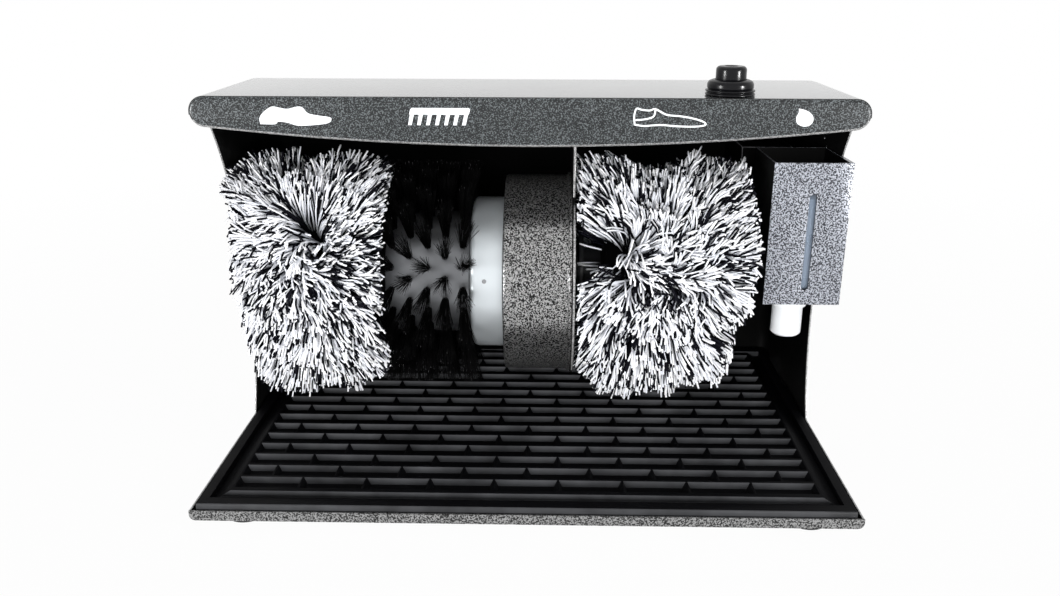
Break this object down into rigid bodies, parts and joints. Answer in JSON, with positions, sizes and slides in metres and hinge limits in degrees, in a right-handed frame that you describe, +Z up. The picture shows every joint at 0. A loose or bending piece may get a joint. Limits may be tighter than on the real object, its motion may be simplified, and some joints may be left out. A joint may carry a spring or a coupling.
{
  "type": "shoe cleaning machine",
  "caption": "Electric shoe cleaner: yarn mops and a bristle brush on one motor shaft under a sheet steel hood, over a ribbed rubber mat, with push switch and polish dispenser.",
  "frame": {"origin": "on the ground under the middle of the bounding box", "axes": "+X to the right seen from the front, +Y to the rear, +Z up"},
  "size_m": [0.4, 0.272, 0.265],
  "materials": {
    "hammered_paint": "grey hammer-effect enamel, semi-gloss",
    "black_paint": "black enamel, satin",
    "black_rubber": "moulded, satin",
    "white_plastic": "moulded, gloss",
    "clear_plastic": "translucent, bluish",
    "black_plastic": "moulded, satin",
    "cast_alloy": "die cast",
    "steel": "turned, bright",
    "stator_iron": "lacquered laminations with enamelled windings",
    "yarn": "white and black cotton yarn strips",
    "bristle": "black filaments"
  },
  "bodies": {
    "housing": {"base_tray": "hammered_paint", "hood_shell": "hammered_paint", "left_side_panel": "hammered_paint", "right_side_panel": "hammered_paint", "motor_bracket": "hammered_paint", "motor_cover": "hammered_paint", "dispenser_box": "hammered_paint", "control_box": "black_paint", "foot_front_left": "black_rubber", "foot_front_right": "black_rubber", "foot_rear_left": "black_rubber", "foot_rear_right": "black_rubber", "rubber_mat": "black_rubber", "switch_boot": "black_rubber", "cable_grommet": "black_rubber", "motor_end_shroud": "white_plastic", "bottle_cap": "white_plastic", "valve_collar": "white_plastic", "polish_bottle": "clear_plastic", "switch_body": "black_plastic", "right_end_bell": "cast_alloy", "left_end_bell": "cast_alloy", "right_bearing": "steel", "left_bearing": "steel", "switch_nut": "steel", "valve_spring": "steel", "motor_stator": "stator_iron"},
    "brush_shaft": {"motor_shaft": "steel", "motor_rotor": "cast_alloy", "left_mop_core": "black_plastic", "left_mop_pile": "yarn", "right_mop_core": "black_plastic", "right_mop_pile": "yarn", "brush_core": "black_plastic", "bristle_ring": "bristle", "brush_spacer": "steel", "left_shaft_washer": "steel", "left_shaft_nut": "steel", "right_shaft_washer": "steel", "right_shaft_nut": "steel"},
    "switch_button": {"switch_button": "black_plastic"},
    "nozzle": {"dispenser_nozzle": "white_plastic"}
  },
  "joints": [
    {"name": "brush_spin", "type": "hinge", "parent": "housing", "child": "brush_shaft", "pos_m": [0, 0.004, 0.121], "axis": [1, 0, 0], "continuous": true},
    {"name": "button_press", "type": "slide", "parent": "housing", "child": "switch_button", "axis": [0, 0, -1], "range_m": [0, 0.004], "stiffness_N_per_m": 500, "springref_m": -0.004},
    {"name": "nozzle_press", "type": "slide", "parent": "housing", "child": "nozzle", "axis": [0, 0, 1], "range_m": [0, 0.0035], "stiffness_N_per_m": 500, "springref_m": -0.004, "deforming": ["valve_spring"]}
  ]
}
